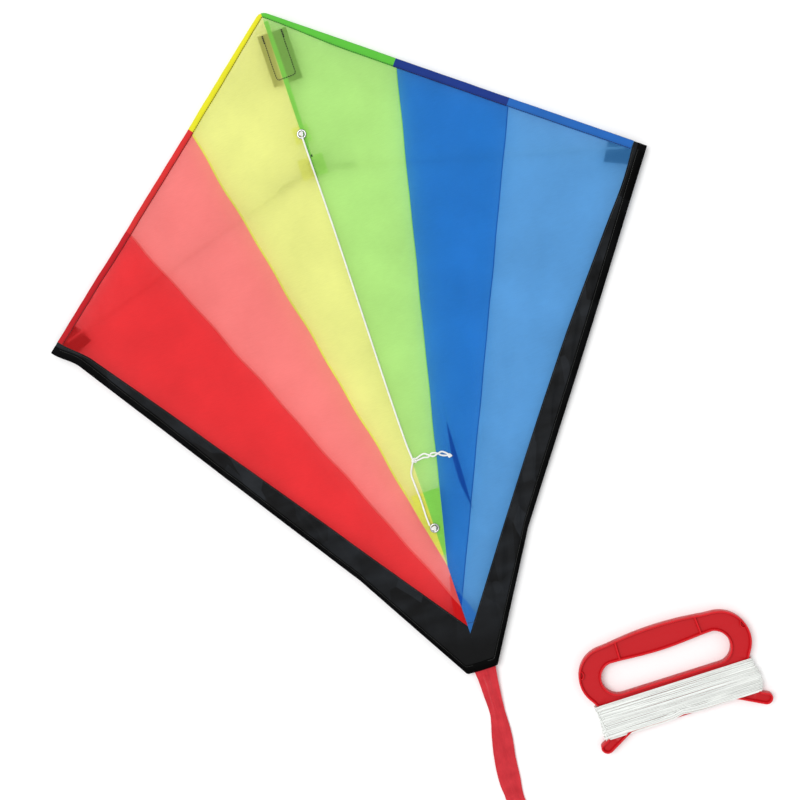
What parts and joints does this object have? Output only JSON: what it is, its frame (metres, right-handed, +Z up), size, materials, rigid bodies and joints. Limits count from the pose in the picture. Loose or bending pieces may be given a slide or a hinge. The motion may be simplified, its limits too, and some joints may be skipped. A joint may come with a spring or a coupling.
{
  "type": "diamond kite",
  "caption": "Diamond kite with a ray-panelled cloth sail, spars and cross hub, bridle with tow loop, ribbon tail, and a hand winder holding its line.",
  "frame": {"origin": "on the ground under the crossing of the spars, at the middle of the cross hub's flat back face", "axes": "+Z up out of the face of the sail, which lies flat; +Y along the spine towards the nose; +X across to the right wing tip"},
  "size_m": [0.6196, 0.9245, 0.0125],
  "materials": {
    "red_cloth": "thin woven polyester, slightly see-through, satin",
    "coral_cloth": "thin woven polyester, slightly see-through, satin",
    "yellow_cloth": "thin woven polyester, see-through, satin",
    "green_cloth": "thin woven polyester, see-through, satin",
    "blue_cloth": "thin woven polyester, slightly see-through, satin",
    "light_blue_cloth": "thin woven polyester, slightly see-through, satin",
    "black_cloth": "thin woven polyester with a soft sheen along its creases",
    "tail_cloth": "thin woven polyester ribbon, satin",
    "spar_fibreglass": "pultruded fibreglass rod, pale, slightly glossy",
    "black_plastic": "moulded plastic, soft sheen",
    "clear_vinyl": "flexible vinyl tube, cloudy",
    "eyelet_metal": "bright nickel plate",
    "white_cord": "braided polyester cord",
    "winder_plastic": "moulded plastic, satin, with brighter rims",
    "line": "thin twisted polyester line, wound flat"
  },
  "bodies": {
    "kite": {"red_panel": "red_cloth", "coral_panel": "coral_cloth", "yellow_panel": "yellow_cloth", "green_panel": "green_cloth", "blue_panel": "blue_cloth", "light_blue_panel": "light_blue_cloth", "left_trim": "black_cloth", "right_trim": "black_cloth", "nose_pocket": "black_cloth", "tail_pocket": "black_cloth", "left_wing_pocket": "black_cloth", "right_wing_pocket": "black_cloth", "upper_eyelet_patch": "black_cloth", "lower_eyelet_patch": "black_cloth", "crossing_patch": "black_cloth", "spine_rod": "spar_fibreglass", "spine_nose_cap": "black_plastic", "spine_tail_cap": "black_plastic", "cross_hub": "clear_vinyl", "upper_eyelet": "eyelet_metal", "lower_eyelet": "eyelet_metal", "upper_hitch": "white_cord", "lower_hitch": "white_cord", "upper_end_knot": "white_cord", "lower_end_knot": "white_cord"},
    "left_spreader": {"left_spreader_sleeve": "clear_vinyl", "left_spreader_rod": "spar_fibreglass", "left_spreader_cap": "black_plastic"},
    "right_spreader": {"right_spreader_sleeve": "clear_vinyl", "right_spreader_rod": "spar_fibreglass", "right_spreader_cap": "black_plastic"},
    "bridle": {"bridle_upper_leg": "white_cord", "bridle_lower_leg": "white_cord", "bridle_knot": "white_cord"},
    "tow_line": {"tow_loop": "white_cord", "tow_loop_knot": "white_cord"},
    "tail": {"tail_strip": "tail_cloth", "tail_folds": "tail_cloth"},
    "winder": {"winder_frame": "winder_plastic", "line_wrap": "line"}
  },
  "joints": [
    {"name": "left_spreader_fold", "type": "hinge", "parent": "kite", "child": "left_spreader", "pos_m": [-0.0082, 0, 0.0038], "axis": [0, 0, 1], "range_deg": [0, 74]},
    {"name": "right_spreader_fold", "type": "hinge", "parent": "kite", "child": "right_spreader", "pos_m": [0.0082, 0, 0.0038], "axis": [0, 0, -1], "range_deg": [0, 74]},
    {"name": "bridle_swing", "type": "hinge", "parent": "kite", "child": "bridle", "pos_m": [0, 0.0356, 0.0101], "axis": [-0.0089, -1, -0.0012], "range_deg": [0, 165]},
    {"name": "tow_loop_swing", "type": "hinge", "parent": "bridle", "child": "tow_line", "pos_m": [0.0024, -0.3012, 0.0096], "axis": [0, 0, 1], "range_deg": [-45, 45]},
    {"name": "tail_swing", "type": "hinge", "parent": "kite", "child": "tail", "pos_m": [0, -0.5194, 0.006], "axis": [-1, 0, 0], "range_deg": [0, 60]},
    {"name": "winder_lift", "type": "slide", "parent": "kite", "child": "winder", "axis": [0, 0, 1], "range_m": [0, 0.12]}
  ]
}
